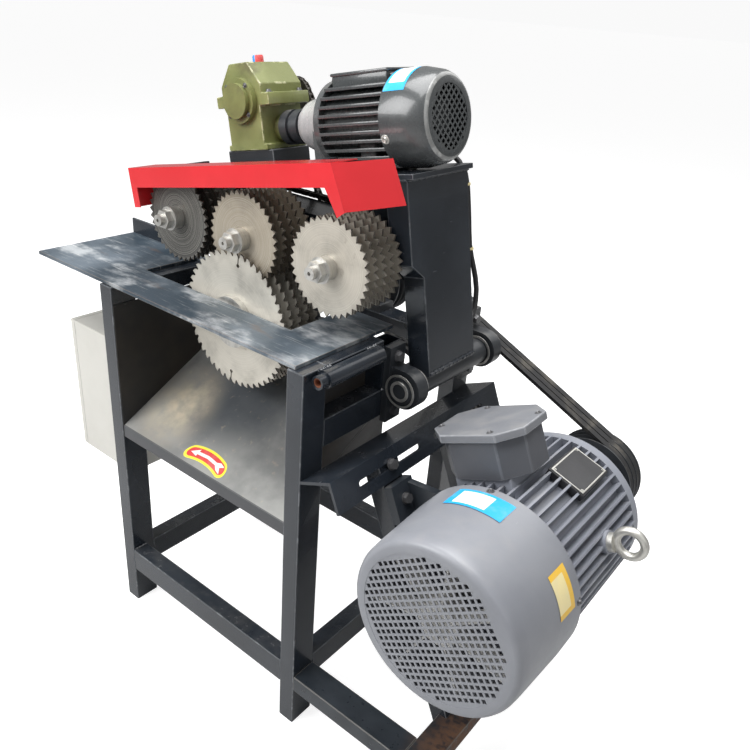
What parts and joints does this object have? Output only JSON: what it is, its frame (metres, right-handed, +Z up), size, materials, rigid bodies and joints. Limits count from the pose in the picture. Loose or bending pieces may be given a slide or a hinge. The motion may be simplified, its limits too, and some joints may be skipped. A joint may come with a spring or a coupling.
{
  "type": "multi rip saw",
  "caption": "Gang rip saw with a slotted steel table, a belt-driven stack of saw blades below it and a chain-driven, swinging head of toothed feed discs above it.",
  "frame": {"origin": "middle of the machine's outline in plan, on the floor", "axes": "+X along the feed from the infeed table to the motor side, +Y along the saw arbor from the operator's front to the belts, +Z up"},
  "size_m": [1.4004, 0.676, 1.3599],
  "materials": {
    "frame_paint": "satin",
    "table_steel": "blued and scratched",
    "bright_steel": "ground",
    "guard_red": "gloss",
    "reducer_olive": "painted",
    "motor_grey": "painted",
    "feed_motor_grey": "painted",
    "cast_black": "painted",
    "control_cream": "satin",
    "belt_rubber": "matt",
    "cable_black": "matt",
    "fan_plastic": "matt",
    "switchgear": "matt",
    "zinc": "zinc plated"
  },
  "bodies": {
    "frame": {"legs": "frame_paint", "low_rails": "frame_paint", "base_rails": "frame_paint", "upper_rails": "frame_paint", "pivot_post": "frame_paint", "motor_bars": "frame_paint", "slotted_bracket": "frame_paint", "table_plate": "table_steel", "infeed_fence": "table_steel", "chip_chute": "table_steel", "side_panel": "frame_paint", "outfeed_socket": "frame_paint", "control_box": "control_cream", "switchgear": "switchgear", "pivot_bearings": "cast_black", "arbor_bearings": "cast_black", "bearing_bolts": "zinc", "main_motor_body": "motor_grey", "main_fan_cowl": "motor_grey", "terminal_box": "motor_grey", "terminal_lid": "motor_grey", "lifting_eye": "zinc", "foot_bolts": "zinc", "drive_belts": "belt_rubber"},
    "control_door": {"control_door": "control_cream"},
    "arbor": {"arbor_shaft": "bright_steel", "saw_blades": "bright_steel", "blade_spacers": "bright_steel", "arbor_nut": "bright_steel", "arbor_pulley": "cast_black"},
    "main_rotor": {"motor_shaft": "bright_steel", "motor_fan": "fan_plastic", "motor_pulley": "cast_black"},
    "head": {"pivot_shaft": "bright_steel", "column": "frame_paint", "lower_arm": "frame_paint", "shaft_sleeves": "frame_paint", "top_plate": "frame_paint", "feed_guard": "guard_red", "guard_brackets": "frame_paint", "reducer_block": "cast_black", "reducer_housing": "reducer_olive", "reducer_caps": "reducer_olive", "feed_motor_body": "feed_motor_grey", "feed_fan_cowl": "feed_motor_grey", "feed_terminal_box": "feed_motor_grey", "feed_bolts": "zinc", "feed_chains": "bright_steel", "motor_cable": "cable_black"},
    "right_feed": {"right_feed_shaft": "bright_steel", "right_feed_discs": "bright_steel", "right_feed_collars": "bright_steel"},
    "middle_feed": {"middle_feed_shaft": "bright_steel", "middle_feed_discs": "bright_steel", "middle_feed_collars": "bright_steel"},
    "left_feed": {"left_feed_shaft": "bright_steel", "left_feed_discs": "bright_steel", "left_feed_collars": "bright_steel"},
    "gear_output": {"output_shaft": "bright_steel"},
    "feed_rotor": {"worm_drive": "bright_steel"}
  },
  "joints": [
    {"name": "control_door_hinge", "type": "hinge", "parent": "frame", "child": "control_door", "pos_m": [-0.64118, 0.038, 0.5345], "axis": [0, 0, -1], "range_deg": [0, 110]},
    {"name": "arbor_spin", "type": "hinge", "parent": "frame", "child": "arbor", "pos_m": [-0.17718, 0.022, 0.827], "axis": [0, 1, 0], "continuous": true},
    {"name": "main_rotor_spin", "type": "hinge", "parent": "frame", "child": "main_rotor", "pos_m": [0.47982, -0.058, 0.528], "axis": [0, 1, 0], "continuous": true},
    {"name": "head_lift", "type": "hinge", "parent": "frame", "child": "head", "pos_m": [0.19272, 0.089, 0.767], "axis": [0, 1, 0], "range_deg": [0, 12]},
    {"name": "middle_feed_spin", "type": "hinge", "parent": "head", "child": "middle_feed", "pos_m": [-0.16278, 0.022, 1.004], "axis": [0, 1, 0], "continuous": true},
    {"name": "right_feed_spin", "type": "hinge", "parent": "head", "child": "right_feed", "pos_m": [0.06582, 0.022, 1.004], "axis": [0, 1, 0], "continuous": true},
    {"name": "left_feed_spin", "type": "hinge", "parent": "head", "child": "left_feed", "pos_m": [-0.36598, 0.022, 1.004], "axis": [0, 1, 0], "continuous": true},
    {"name": "gear_output_spin", "type": "hinge", "parent": "head", "child": "gear_output", "pos_m": [-0.3139, 0.037, 1.239], "axis": [0, 1, 0], "continuous": true},
    {"name": "feed_rotor_spin", "type": "hinge", "parent": "head", "child": "feed_rotor", "pos_m": [-0.09901, 0.037, 1.21965], "axis": [0.9816, 0, 0.1908], "continuous": true}
  ],
  "couplings": [
    {"joint": "main_rotor_spin", "follows": "arbor_spin", "ratio": 1},
    {"joint": "right_feed_spin", "follows": "middle_feed_spin", "ratio": 1},
    {"joint": "left_feed_spin", "follows": "middle_feed_spin", "ratio": 1},
    {"joint": "gear_output_spin", "follows": "middle_feed_spin", "ratio": 1},
    {"joint": "feed_rotor_spin", "follows": "middle_feed_spin", "ratio": 40}
  ]
}
